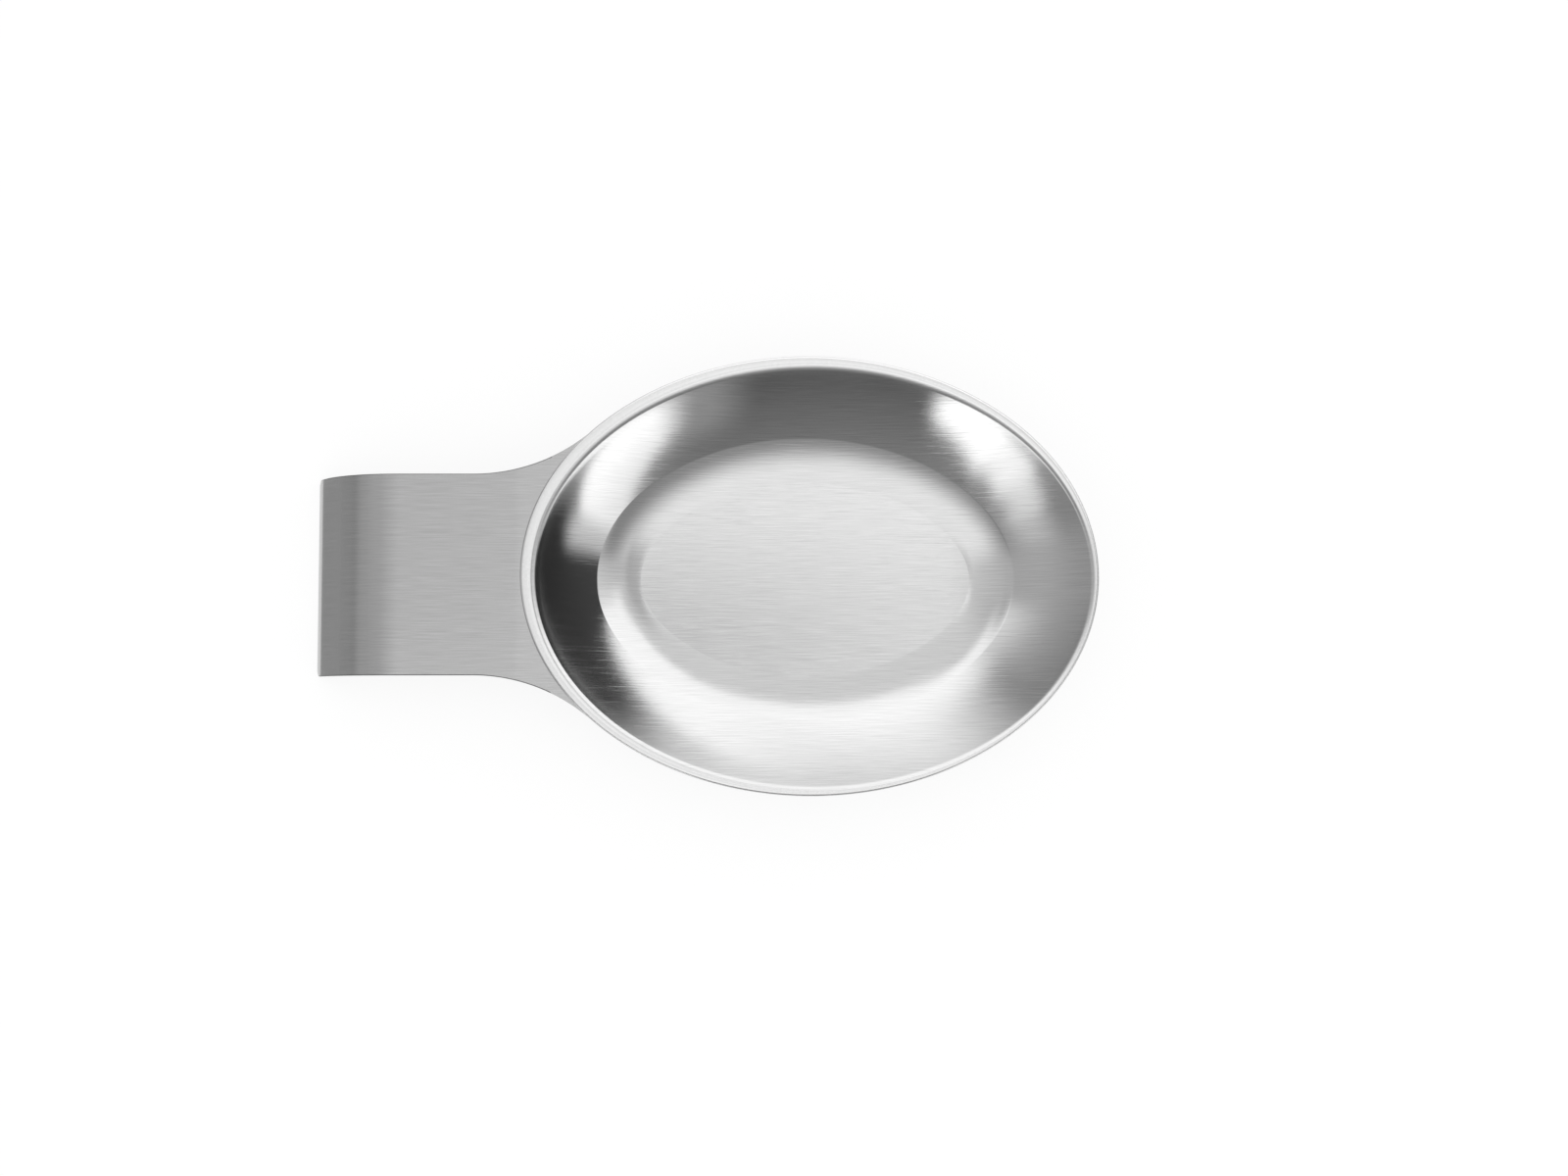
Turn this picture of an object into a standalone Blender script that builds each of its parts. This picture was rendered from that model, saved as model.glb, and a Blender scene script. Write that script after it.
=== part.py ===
"""Oval spoon rest in brushed stainless sheet.

A drawn oval bowl and a strap handle that is cut flat, bent and welded under the bowl's rim.
Metres, +Z up. The origin is on the table under the middle of the whole length; the handle points to -X.
"""

import math

import bmesh
import bpy
from mathutils import Vector

# Driving dimensions: lengths in metres, angles in degrees
RIM_LENGTH = 0.175        # bowl over its rim, in line with the handle
RIM_WIDTH = 0.133         # bowl over its rim, across the handle
RIM_HEIGHT = 0.022        # top of the rim above the table
RIM_FLAT = 0.0025         # level part of the rim, from its edge to the lip bend
BOWL_SHEET = 0.0010       # sheet that the bowl is drawn from
LIP_RADIUS = 0.0020       # upper side of the bend from the rim into the wall
WALL_TOP = 45.5           # slope of the hollow wall at the lip
WALL_FOOT = 36.0          # slope of the wall at the crease
CREASE_INSET = 0.0222     # crease between the wall and the cove, in from the rim's edge
COVE_WIDTH = 0.0170       # cove from the crease to the flat floor

HANDLE_WIDTH = 0.0605     # strap between its parallel sides
HANDLE_SHEET = 0.0010     # sheet that the strap is cut from
HANDLE_RUN = 0.0365       # strap from the rim's edge to the roll, along the sheet
HANDLE_FALL = 2.3         # slope of that run
FALL_RADIUS = 0.040       # upper side of the slight bend where the slope begins
ROLL_RADIUS = 0.030       # upper side of the roll that brings the strap down to the table
FLARE_RADIUS = 0.054      # sweep from the strap's sides out to the rim
CORNER_RADIUS = 0.0020    # corners of the strap's free end
LAP = 0.0026              # how far the strap reaches under the rim

WELD_LEG = 0.0015         # weld along the strap's underside and along the wall
WELD_CROWN = 0.0004       # swell of the weld's face
WELD_SETBACK = 0.0020     # weld's ends, in from the strap's sides
FIT_GAP = 0.0003          # clearance where pieces meet
EDGE_ROUND = 0.00025      # deburred sheet edges

# Smoothness of the round forms
OVAL_STEPS = 88           # points round the whole bowl
LIP_STEPS = 4
WALL_STEPS = 4
COVE_STEPS = 7
FLARE_STEPS = 10
ROLL_STEPS = 14
CORNER_STEPS = 4
SADDLE_STEPS = 32         # points on the strap's hollow end
WELD_STEPS = 28
CROWN_STEPS = 4
EDGE_STEPS = 2

# Sizes that follow from the ones above
WALL_TILT = math.radians(WALL_TOP)
FOOT_TILT = math.radians(WALL_FOOT)
FALL_TILT = math.radians(HANDLE_FALL)
LIP_INSET = RIM_FLAT + LIP_RADIUS * math.sin(WALL_TILT)
LIP_HEIGHT = RIM_HEIGHT - LIP_RADIUS * (1 - math.cos(WALL_TILT))
WALL_RADIUS = (CREASE_INSET - LIP_INSET) / (math.sin(WALL_TILT) - math.sin(FOOT_TILT))
CREASE_HEIGHT = LIP_HEIGHT - WALL_RADIUS * (math.cos(FOOT_TILT) - math.cos(WALL_TILT))

# The cove meets the floor level, and it ends before the oval's ends would fold into themselves
COVE_REACH = 0.92 * RIM_WIDTH ** 2 / (2 * RIM_LENGTH) - CREASE_INSET
COVE_RUN = min(COVE_WIDTH, COVE_REACH)
COVE_DROP = CREASE_HEIGHT - BOWL_SHEET
COVE_RADIUS = (COVE_RUN ** 2 + COVE_DROP ** 2) / (2 * COVE_DROP)
COVE_TILT = 2 * math.atan2(COVE_DROP, COVE_RUN)

SADDLE_HEIGHT = RIM_HEIGHT - BOWL_SHEET - FIT_GAP
FALL_LENGTH = FALL_RADIUS * FALL_TILT

# The roll turns until the sheet's end meets the table. A tight roll first stands upright, and a
# straight leg takes it down the rest of the way.
ROLL_START = (SADDLE_HEIGHT - FALL_RADIUS * (1 - math.cos(FALL_TILT))
              - (HANDLE_RUN - FALL_LENGTH) * math.sin(FALL_TILT))
ROLL_LEFT = ROLL_RADIUS * math.cos(FALL_TILT) - ROLL_START
ROLL_TILT = math.acos(max(ROLL_LEFT, 0) / (ROLL_RADIUS - HANDLE_SHEET))
ROLL_LENGTH = ROLL_RADIUS * (ROLL_TILT - FALL_TILT)
LEG_LENGTH = max(-ROLL_LEFT, 0)
BLANK_REACH = RIM_LENGTH / 2 + HANDLE_RUN + ROLL_LENGTH + LEG_LENGTH


def arc(centre, radius, start, end, steps):
    """Points on an arc from one angle to another, in radians, with both ends."""
    angles = [start + (end - start) * i / steps for i in range(steps + 1)]
    return [(centre[0] + radius * math.cos(a), centre[1] + radius * math.sin(a)) for a in angles]


def solve(function, low, high):
    """Root of a function that is negative at low and positive at high."""
    for _ in range(60):
        middle = (low + high) / 2
        if function(middle) < 0:
            low = middle
        else:
            high = middle
    return (low + high) / 2


def rim_normal(angle):
    """Outward direction of the rim's ellipse at one of its angles."""
    return Vector((RIM_WIDTH * math.cos(angle), RIM_LENGTH * math.sin(angle))).normalized()


def oval_point(angle, inset):
    """Point of the rim's ellipse, moved square to it towards the bowl's middle."""
    edge = Vector((RIM_LENGTH / 2 * math.cos(angle), RIM_WIDTH / 2 * math.sin(angle)))
    return edge - rim_normal(angle) * inset


def flare_angle():
    """Angle on the rim where the strap's sweeping side runs into it."""
    def miss(angle):
        centre_y = oval_point(angle, -FLARE_RADIUS).y
        return HANDLE_WIDTH / 2 + FLARE_RADIUS - centre_y
    return solve(miss, math.pi / 2, math.pi)


def bend_strap(reach):
    """Place of a point of the flat blank on the bent strap.

    The blank is measured from the bowl's middle. It stays level to the rim's edge, takes a slight
    bend, falls straight, rolls over and then runs straight on. Gives the distance and the height
    of its upper side.
    """
    length = reach - RIM_LENGTH / 2
    if length <= 0:
        return reach, SADDLE_HEIGHT
    turn = min(length, FALL_LENGTH) / FALL_RADIUS
    along = RIM_LENGTH / 2 + FALL_RADIUS * math.sin(turn)
    height = SADDLE_HEIGHT - FALL_RADIUS * (1 - math.cos(turn))
    straight = min(max(length - FALL_LENGTH, 0), HANDLE_RUN - FALL_LENGTH)
    along += straight * math.cos(FALL_TILT)
    height -= straight * math.sin(FALL_TILT)
    rolled = min(max(length - HANDLE_RUN, 0), ROLL_LENGTH)
    tilt = FALL_TILT + rolled / ROLL_RADIUS
    along += ROLL_RADIUS * (math.sin(tilt) - math.sin(FALL_TILT))
    height -= ROLL_RADIUS * (math.cos(FALL_TILT) - math.cos(tilt))
    leg = max(length - HANDLE_RUN - ROLL_LENGTH, 0)
    return along + leg * math.cos(tilt), height - leg * math.sin(tilt)


# Half of what the handle stands out past the rim puts the origin under the middle of the length
BOWL_MIDDLE = Vector(((bend_strap(BLANK_REACH)[0] - RIM_LENGTH / 2) / 2, 0, 0))


def steel(name, shade, roughness):
    """Brushed stainless steel of one grey."""
    material = bpy.data.materials.new(name)
    material.use_nodes = True
    shader = material.node_tree.nodes["Principled BSDF"]
    shader.inputs["Base Color"].default_value = (shade, shade, shade, 1)
    shader.inputs["Metallic"].default_value = 1
    shader.inputs["Roughness"].default_value = roughness
    return material


def finish(name, mesh, material):
    """Make an object of a mesh that is being edited, centred on the bowl."""
    bmesh.ops.translate(mesh, vec=BOWL_MIDDLE, verts=mesh.verts)
    data = bpy.data.meshes.new(name)
    mesh.to_mesh(data)
    mesh.free()
    data.materials.append(material)
    data.shade_smooth()
    data.set_sharp_from_angle(angle=math.radians(30))
    piece = bpy.data.objects.new(name, data)
    bpy.context.collection.objects.link(piece)
    return piece


def thicken(piece, thickness):
    """Give a sheet its thickness below the drawn side, and round its cut edges slightly."""
    solid = piece.modifiers.new("sheet", "SOLIDIFY")
    solid.thickness = thickness
    solid.offset = -1
    solid.use_even_offset = True
    solid.use_quality_normals = True
    edge = piece.modifiers.new("deburred_edge", "BEVEL")
    edge.width = EDGE_ROUND
    edge.segments = EDGE_STEPS
    edge.limit_method = "ANGLE"
    edge.angle_limit = math.radians(50)


def bridge(mesh, rings):
    """Join closed rings of points into a skin and return the edges of each ring."""
    edges = []
    for ring in rings:
        verts = [mesh.verts.new(point) for point in ring]
        edges.append([mesh.edges.new(pair) for pair in zip(verts, verts[1:] + verts[:1])])
    for before, after in zip(edges, edges[1:]):
        bmesh.ops.bridge_loops(mesh, edges=before + after)
    return edges


def bowl_profile():
    """Upper side of the bowl from the rim's edge to the floor, as inset and height."""
    lip = arc((RIM_FLAT, RIM_HEIGHT - LIP_RADIUS), LIP_RADIUS,
              math.pi / 2, math.pi / 2 - WALL_TILT, LIP_STEPS)
    wall_centre = (LIP_INSET + WALL_RADIUS * math.sin(WALL_TILT),
                   LIP_HEIGHT + WALL_RADIUS * math.cos(WALL_TILT))
    wall = arc(wall_centre, WALL_RADIUS, -math.pi / 2 - WALL_TILT, -math.pi / 2 - FOOT_TILT, WALL_STEPS)
    cove = arc((CREASE_INSET + COVE_RUN, BOWL_SHEET + COVE_RADIUS), COVE_RADIUS,
               -math.pi / 2 - COVE_TILT, -math.pi / 2, COVE_STEPS)
    return [(0, RIM_HEIGHT)] + lip + wall[1:] + cove[1:]


def make_bowl():
    """Drawn oval bowl: rim, lip bend, hollow wall, crease and cove keep one section all the way round."""
    mesh = bmesh.new()
    angles = [2 * math.pi * i / OVAL_STEPS for i in range(OVAL_STEPS)]
    rings = [[(*oval_point(a, inset), height) for a in angles] for inset, height in bowl_profile()]
    edges = bridge(mesh, rings)
    floor = bmesh.ops.contextual_create(mesh, geom=edges[-1])["faces"][0]
    bmesh.ops.recalc_face_normals(mesh, faces=mesh.faces)
    if floor.normal.z < 0:
        bmesh.ops.reverse_faces(mesh, faces=mesh.faces)
    bowl = finish("bowl", mesh, steel("brushed_steel_bowl", 0.62, 0.30))
    thicken(bowl, BOWL_SHEET)
    return bowl


def half_blank():
    """Outline of one side of the flat strap, from the middle of its free end to its hollow end.

    Points are distances from the bowl's middle, towards the handle and across it.
    """
    meet = flare_angle()
    normal = rim_normal(meet)
    centre = oval_point(meet, -FLARE_RADIUS)
    half = HANDLE_WIDTH / 2
    corner = arc((BLANK_REACH - CORNER_RADIUS, half - CORNER_RADIUS), CORNER_RADIUS,
                 0, math.pi / 2, CORNER_STEPS)
    sweep = arc((-centre.x, centre.y), FLARE_RADIUS,
                -math.pi / 2, math.atan2(-normal.y, normal.x), FLARE_STEPS)
    hollow = []
    for i in range(SADDLE_STEPS // 2):
        point = oval_point(meet + (math.pi - meet) * 2 * i / SADDLE_STEPS, LAP)
        hollow.append((-point.x, point.y))
    return corner + sweep + hollow


def make_handle():
    """Strap handle: a flat blank, scored across where it bends, then bent to its profile."""
    mesh = bmesh.new()
    side = half_blank()
    nose = -oval_point(math.pi, LAP).x
    outline = side + [(nose, 0)] + [(reach, -across) for reach, across in reversed(side)]
    mesh.faces.new([mesh.verts.new((-reach, across, 0)) for reach, across in outline])
    roll_from = RIM_LENGTH / 2 + HANDLE_RUN
    scores = [RIM_LENGTH / 2, RIM_LENGTH / 2 + FALL_LENGTH]
    scores += [roll_from + ROLL_LENGTH * i / ROLL_STEPS for i in range(ROLL_STEPS)]
    if LEG_LENGTH > 0:
        scores.append(roll_from + ROLL_LENGTH)
    for score in scores:
        everything = mesh.verts[:] + mesh.edges[:] + mesh.faces[:]
        bmesh.ops.bisect_plane(mesh, geom=everything, plane_co=(-score, 0, 0), plane_no=(1, 0, 0))
    for vert in mesh.verts:
        along, height = bend_strap(-vert.co.x)
        vert.co.x = -along
        vert.co.z = height
    mesh.normal_update()
    if sum(face.normal.z for face in mesh.faces) < 0:
        bmesh.ops.reverse_faces(mesh, faces=mesh.faces)
    handle = finish("handle", mesh, steel("brushed_steel_handle", 0.60, 0.32))
    thicken(handle, HANDLE_SHEET)
    return handle


def weld_section():
    """Section of the weld, as inset and height: its root against strap and wall, and its crowned face."""
    root_height = SADDLE_HEIGHT - HANDLE_SHEET - FIT_GAP
    wall_inset = LIP_INSET - BOWL_SHEET * math.sin(WALL_TILT)
    wall_height = LIP_HEIGHT - BOWL_SHEET * math.cos(WALL_TILT)
    wall_inset += (wall_height - root_height) / math.tan(WALL_TILT)
    root = Vector((wall_inset - FIT_GAP / math.sin(WALL_TILT), root_height))
    toe_wall = root + Vector((math.cos(WALL_TILT), -math.sin(WALL_TILT))) * WELD_LEG
    toe_strap = Vector((LAP - WELD_LEG, root_height))
    span = toe_strap - toe_wall
    outward = Vector((span.y, -span.x)).normalized()
    if outward.y > 0:
        outward = -outward
    face = []
    for i in range(CROWN_STEPS + 1):
        share = i / CROWN_STEPS
        face.append(toe_wall + span * share + outward * WELD_CROWN * math.sin(math.pi * share))
    return [root] + face


def make_weld_seam():
    """Fillet weld along the strap's hollow end, in the corner under the bowl's rim."""
    mesh = bmesh.new()
    half = HANDLE_WIDTH / 2 - WELD_SETBACK
    first = math.pi - math.asin(half / (RIM_WIDTH / 2))
    section = weld_section()
    rings = []
    for i in range(WELD_STEPS + 1):
        angle = first + 2 * (math.pi - first) * i / WELD_STEPS
        rings.append([(*oval_point(angle, inset), height) for inset, height in section])
    edges = bridge(mesh, rings)
    bmesh.ops.contextual_create(mesh, geom=edges[0])
    bmesh.ops.contextual_create(mesh, geom=edges[-1])
    bmesh.ops.recalc_face_normals(mesh, faces=mesh.faces)
    return finish("weld_seam", mesh, steel("weld_metal", 0.45, 0.45))


def main():
    """Clear the scene and build the spoon rest."""
    for old in list(bpy.data.objects):
        bpy.data.objects.remove(old, do_unlink=True)
    make_bowl()
    make_handle()
    make_weld_seam()


main()
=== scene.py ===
"""Looks of an oval spoon rest in brushed stainless sheet, on a white studio floor.

A drawn bowl with a buffed rim, a strap handle that rolls down to the table, and the weld that joins them.
Metres, +Z up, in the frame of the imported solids: the handle points to -X, the table is at z = 0.
"""

import logging
import math
from dataclasses import dataclass, field
from enum import Enum

import bmesh
import bpy
from mathutils import Euler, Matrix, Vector


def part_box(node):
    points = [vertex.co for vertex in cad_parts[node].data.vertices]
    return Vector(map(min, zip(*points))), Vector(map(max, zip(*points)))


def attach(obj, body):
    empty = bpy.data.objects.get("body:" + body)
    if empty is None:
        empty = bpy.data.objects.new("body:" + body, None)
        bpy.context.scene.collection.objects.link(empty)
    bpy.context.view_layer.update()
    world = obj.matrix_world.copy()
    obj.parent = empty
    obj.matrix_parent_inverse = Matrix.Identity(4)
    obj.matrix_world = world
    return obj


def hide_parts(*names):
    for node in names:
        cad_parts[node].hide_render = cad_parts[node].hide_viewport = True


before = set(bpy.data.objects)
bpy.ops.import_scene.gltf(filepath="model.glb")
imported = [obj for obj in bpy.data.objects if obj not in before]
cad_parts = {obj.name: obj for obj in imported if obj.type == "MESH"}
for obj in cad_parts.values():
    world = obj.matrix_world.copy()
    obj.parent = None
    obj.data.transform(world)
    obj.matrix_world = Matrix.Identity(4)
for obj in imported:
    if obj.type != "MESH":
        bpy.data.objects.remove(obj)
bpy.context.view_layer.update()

LOG = logging.getLogger("spoon_rest")
MM = 0.001
GRAIN_MAP = "across_grain"
RIM_INSET = "rim_inset"
WHITE = (1.0, 1.0, 1.0, 1.0)
MATT_ROUGHNESS = 0.9
# bends sharper than this keep a crisp line in smooth shading
SHARP_EDGE = math.radians(40)
# steps in the rounded edges of the sheets
EDGE_STEPS = 4
# heights and tilts closer than this count as equal
ROUND_OFF = 1e-5
# halvings in the search for the spot where the handle's side meets the rim
HALVINGS = 60

Profile = list[tuple[float, float]]


class Face(Enum):
    """Finish of a face on a sheet piece, by its place in the piece's list of materials."""

    BRUSHED = 0
    BUFFED = 1
    CUT = 2


def linear(colour: str) -> tuple[float, float, float, float]:
    """Turn an sRGB hex colour into the linear colour that shaders take.

    Args:
        colour: Hex value such as "#CECECE".

    Returns:
        Linear red, green, blue and an alpha of 1.
    """
    shares = [int(colour[i:i + 2], 16) / 255 for i in (1, 3, 5)]
    red, green, blue = (s / 12.92 if s <= 0.04045 else ((s + 0.055) / 1.055) ** 2.4 for s in shares)
    return red, green, blue, 1.0


def add_node(tree: bpy.types.NodeTree, kind: str, inputs: dict[str | int, object] | None = None,
             **settings: object) -> bpy.types.Node:
    """Add one node with its settings, constants and links.

    Args:
        tree: Node tree that takes the node.
        kind: Node type without its common prefix, such as "TexNoise".
        inputs: Input name or number to a constant or to another node's output.
        settings: Properties of the node itself.

    Returns:
        The new node.
    """
    node = tree.nodes.new("ShaderNode" + kind)
    for name, value in settings.items():
        setattr(node, name, value)
    for name, value in (inputs or {}).items():
        if isinstance(value, bpy.types.NodeSocket):
            tree.links.new(value, node.inputs[name])
        else:
            node.inputs[name].default_value = value
    return node


def new_material(name: str) -> tuple[bpy.types.Material, bpy.types.Node]:
    """Make a material with its Principled shader ready to be set.

    Args:
        name: Name of the finish.

    Returns:
        The material and its shader node.
    """
    material = bpy.data.materials.new(name)
    material.use_nodes = True
    return material, material.node_tree.nodes["Principled BSDF"]


def new_matt(name: str, colour: str) -> tuple[bpy.types.Material, bpy.types.Node]:
    """Make a matt material without gloss.

    Args:
        name: Name of the finish.
        colour: Hex value of its colour.

    Returns:
        The material and its shader node.
    """
    material, shader = new_material(name)
    shader.inputs["Base Color"].default_value = linear(colour)
    shader.inputs["Roughness"].default_value = MATT_ROUGHNESS
    shader.inputs["Specular IOR Level"].default_value = 0.0
    return material, shader


def new_cloth(name: str) -> bpy.types.Material:
    """Make a material for glowing cloth, with its node tree still empty.

    Args:
        name: Name of the cloth.

    Returns:
        The material.
    """
    material = bpy.data.materials.new(name)
    material.use_nodes = True
    material.node_tree.nodes.clear()
    return material


@dataclass(frozen=True)
class Streak:
    """One kind of mark in the brushing.

    It has a size, levels of finer noise, and a turn against the grain in degrees.
    """

    width: float
    length: float
    detail: float = 0.0
    turn: float = 0.0


@dataclass(frozen=True)
class BrushedSteel:
    """Stainless steel sheet, brushed in straight lines along the handle before it was pressed.

    The eye sees fine level streaks, a few longer scratches among them, and highlights that are drawn
    out across the streaks but stay crisp along them. Under the buffed rim the sheet is hazier.
    The real lines are near 0.1 mm; they are drawn about twice as coarse to show.
    """

    name: str = "stainless_steel_brushed"
    dark: str = "#C5C5C5"
    light: str = "#D1D1D1"
    roughness: float = 0.10
    roughness_spread: float = 0.015
    anisotropy: float = 0.85
    line: Streak = Streak(0.22 * MM, 12 * MM, detail=2.0)
    band: Streak = Streak(1.3 * MM, 45 * MM, detail=1.0)
    scratch: Streak = Streak(0.4 * MM, 16 * MM, turn=1.0)
    raggedness: float = 0.6
    band_share: float = 0.1
    scratch_range: tuple[float, float] = (0.70, 0.78)
    scratch_share: float = 0.5
    colour_range: tuple[float, float] = (0.3, 0.7)
    roughness_range: tuple[float, float] = (0.25, 0.75)
    depth: float = 0.008 * MM
    haze: float = 0.05
    haze_from: float = 3.0 * MM
    haze_to: float = 7.5 * MM

    def streaks(self, tree: bpy.types.NodeTree, streak: Streak) -> bpy.types.NodeSocket:
        """Draw noise that is narrow across the grain and long along it.

        Args:
            tree: Node tree of the material.
            streak: Kind of mark to draw.

        Returns:
            Output with values round 0.5.
        """
        spot = add_node(tree, "UVMap", uv_map=GRAIN_MAP)
        scaled = add_node(tree, "Mapping", {
            "Vector": spot.outputs["UV"],
            "Rotation": (0, 0, math.radians(streak.turn)),
            "Scale": (1 / streak.width, 1 / streak.length, 1),
        })
        noise = add_node(tree, "TexNoise", {
            "Vector": scaled.outputs["Vector"], "Scale": 1.0,
            "Detail": streak.detail, "Roughness": self.raggedness,
        }, noise_dimensions="2D")
        return noise.outputs["Fac"]

    def roughen(self, tree: bpy.types.NodeTree, roughness: bpy.types.NodeSocket) -> bpy.types.NodeSocket:
        """Add the haze that the buffing of the rim left just under its lip.

        Args:
            tree: Node tree of the material.
            roughness: Roughness of the plain brushed sheet.

        Returns:
            Output with the roughness.
        """
        if not self.haze:
            return roughness
        inset = add_node(tree, "Attribute", attribute_name=RIM_INSET)
        near = add_node(tree, "MapRange", {
            "Value": inset.outputs["Fac"], "From Min": self.haze_to, "From Max": self.haze_from,
            "To Max": self.haze,
        }, interpolation_type="SMOOTHSTEP")
        total = add_node(tree, "Math", {0: roughness, 1: near.outputs["Result"]}, operation="ADD")
        return total.outputs["Value"]

    def make(self) -> bpy.types.Material:
        """Build the material.

        Returns:
            The finished material.
        """
        material, shader = new_material(self.name)
        tree = material.node_tree
        lines = self.streaks(tree, self.line)
        bands = self.streaks(tree, self.band)
        scratches = add_node(tree, "MapRange", {
            "Value": self.streaks(tree, self.scratch),
            "From Min": self.scratch_range[0], "From Max": self.scratch_range[1],
        })
        brushing = add_node(tree, "Mix", {
            "Factor": self.band_share, "A": lines, "B": bands,
        }, data_type="FLOAT").outputs["Result"]
        shade = add_node(tree, "MapRange", {
            "Value": brushing, "From Min": self.colour_range[0], "From Max": self.colour_range[1],
        })
        colour = add_node(tree, "Mix", {
            "Factor": shade.outputs["Result"], "A": linear(self.dark), "B": linear(self.light),
        }, data_type="RGBA")
        rough = add_node(tree, "MapRange", {
            "Value": brushing, "From Min": self.roughness_range[0], "From Max": self.roughness_range[1],
            "To Min": self.roughness - self.roughness_spread,
            "To Max": self.roughness + self.roughness_spread,
        })
        roughness = self.roughen(tree, rough.outputs["Result"])
        height = add_node(tree, "Math", {
            0: scratches.outputs["Result"], 1: self.scratch_share, 2: lines,
        }, operation="MULTIPLY_ADD")
        bump = add_node(tree, "Bump", {
            "Height": height.outputs["Value"], "Strength": 1.0, "Distance": self.depth,
        })
        across = add_node(tree, "Tangent", direction_type="UV_MAP", uv_map=GRAIN_MAP)
        shader.inputs["Metallic"].default_value = 1.0
        shader.inputs["Anisotropic"].default_value = self.anisotropy
        tree.links.new(colour.outputs["Result"], shader.inputs["Base Color"])
        tree.links.new(roughness, shader.inputs["Roughness"])
        tree.links.new(bump.outputs["Normal"], shader.inputs["Normal"])
        tree.links.new(across.outputs["Tangent"], shader.inputs["Tangent"])
        return material


@dataclass(frozen=True)
class BrushedStrapWithPaintedShade(BrushedSteel):
    """Stainless steel strip of the handle, brushed the same way but left a little rougher.

    Its colour is painted darker than the bowl's, as painted shade: the eye sees a deeper, even grey than in
    the bowl.
    """

    name: str = "stainless_steel_brushed_strip_with_painted_shade"
    # colours darker than the bowl's brushed steel: painted shade
    dark: str = "#B1B1B1"
    light: str = "#BDBDBD"
    roughness: float = 0.22
    haze: float = 0.0


@dataclass(frozen=True)
class SpeckledSteel:
    """Stainless steel whose surface has a fine speckle and no direction.

    The real speckle of such finishes is near 0.1 mm; each is drawn four to six times as coarse to show.
    """

    name: str
    dark: str
    light: str
    roughness: float
    speckle: float
    depth: float
    detail: float = 2.0

    def make(self) -> bpy.types.Material:
        """Build the material.

        Returns:
            The finished material.
        """
        material, shader = new_material(self.name)
        tree = material.node_tree
        spot = add_node(tree, "TexCoord")
        noise = add_node(tree, "TexNoise", {
            "Vector": spot.outputs["Object"], "Scale": 1 / self.speckle, "Detail": self.detail,
        })
        colour = add_node(tree, "Mix", {
            "Factor": noise.outputs["Fac"], "A": linear(self.dark), "B": linear(self.light),
        }, data_type="RGBA")
        bump = add_node(tree, "Bump", {"Height": noise.outputs["Fac"], "Distance": self.depth})
        shader.inputs["Metallic"].default_value = 1.0
        shader.inputs["Roughness"].default_value = self.roughness
        tree.links.new(colour.outputs["Result"], shader.inputs["Base Color"])
        tree.links.new(bump.outputs["Normal"], shader.inputs["Normal"])
        return material


@dataclass(frozen=True)
class BuffedSteelWithPaintedHighlight(SpeckledSteel):
    """Stainless steel of a rim that was trimmed and buffed after pressing.

    The eye sees an even satin band with a faint speckle and no direction of its own; it is brighter because
    its colour carries a painted highlight over the brushed steel's.
    """

    name: str = "stainless_steel_buffed_with_painted_highlight"
    # colours brighter than the brushed steel's: painted highlight on the buffed finish
    dark: str = "#DADADA"
    light: str = "#E6E6E6"
    roughness: float = 0.24
    speckle: float = 0.6 * MM
    depth: float = 0.002 * MM


@dataclass(frozen=True)
class CutSteelWithPaintedShade(SpeckledSteel):
    """Sheared and deburred edge of stainless steel sheet.

    The eye sees a thin, duller and darker line round every piece of sheet: the dullness is the cut's own
    roughness, the darkness is painted shade in its colour.
    """

    name: str = "stainless_steel_cut_edge_with_painted_shade"
    # dark colours: painted shade for the dark outline, over the cut's duller finish
    dark: str = "#6E6E6E"
    light: str = "#8C8C8C"
    roughness: float = 0.34
    speckle: float = 0.5 * MM
    depth: float = 0.01 * MM


@dataclass(frozen=True)
class WeldSteel(SpeckledSteel):
    """Weld bead of stainless steel, wire-brushed after cooling.

    The eye sees a dull grey bead with small soft ripples and a fine brushed tooth.
    """

    name: str = "stainless_steel_weld_bead"
    dark: str = "#8C8A87"
    light: str = "#B5B4B2"
    roughness: float = 0.42
    speckle: float = 0.4 * MM
    depth: float = 0.02 * MM


def arc(centre: tuple[float, float], radius: float, start: float, end: float, steps: int) -> Profile:
    """Points on an arc, with both ends.

    Args:
        centre: Centre of the arc.
        radius: Radius of the arc.
        start: First angle, in radians.
        end: Last angle, in radians.
        steps: Number of steps between them.

    Returns:
        Points from the first angle to the last.
    """
    angles = [start + (end - start) * i / steps for i in range(steps + 1)]
    return [(centre[0] + radius * math.cos(a), centre[1] + radius * math.sin(a)) for a in angles]


def lay_grain(mesh: bmesh.types.BMesh) -> None:
    """Lay the grain's map on a flat sheet: across the grain first, then along it, in metres.

    Args:
        mesh: Sheet whose grain runs along X.
    """
    layer = mesh.loops.layers.uv.new(GRAIN_MAP)
    for face in mesh.faces:
        for loop in face.loops:
            loop[layer].uv = (loop.vert.co.y, loop.vert.co.x)


def put_in_scene(name: str, mesh: bmesh.types.BMesh, finishes: list[bpy.types.Material]) -> bpy.types.Object:
    """Make an object of an edited mesh.

    Args:
        name: Name of the piece.
        mesh: Mesh in its final place; it is freed.
        finishes: Materials, in the order of the faces' numbers.

    Returns:
        The object, at the origin.
    """
    data = bpy.data.meshes.new(name)
    mesh.to_mesh(data)
    mesh.free()
    for finish in finishes:
        data.materials.append(finish)
    piece = bpy.data.objects.new(name, data)
    bpy.context.scene.collection.objects.link(piece)
    return piece


def smooth(piece: bpy.types.Object) -> None:
    """Shade a piece smooth, with its sharp edges kept."""
    piece.data.shade_smooth()
    piece.data.set_sharp_from_angle(angle=SHARP_EDGE)


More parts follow.
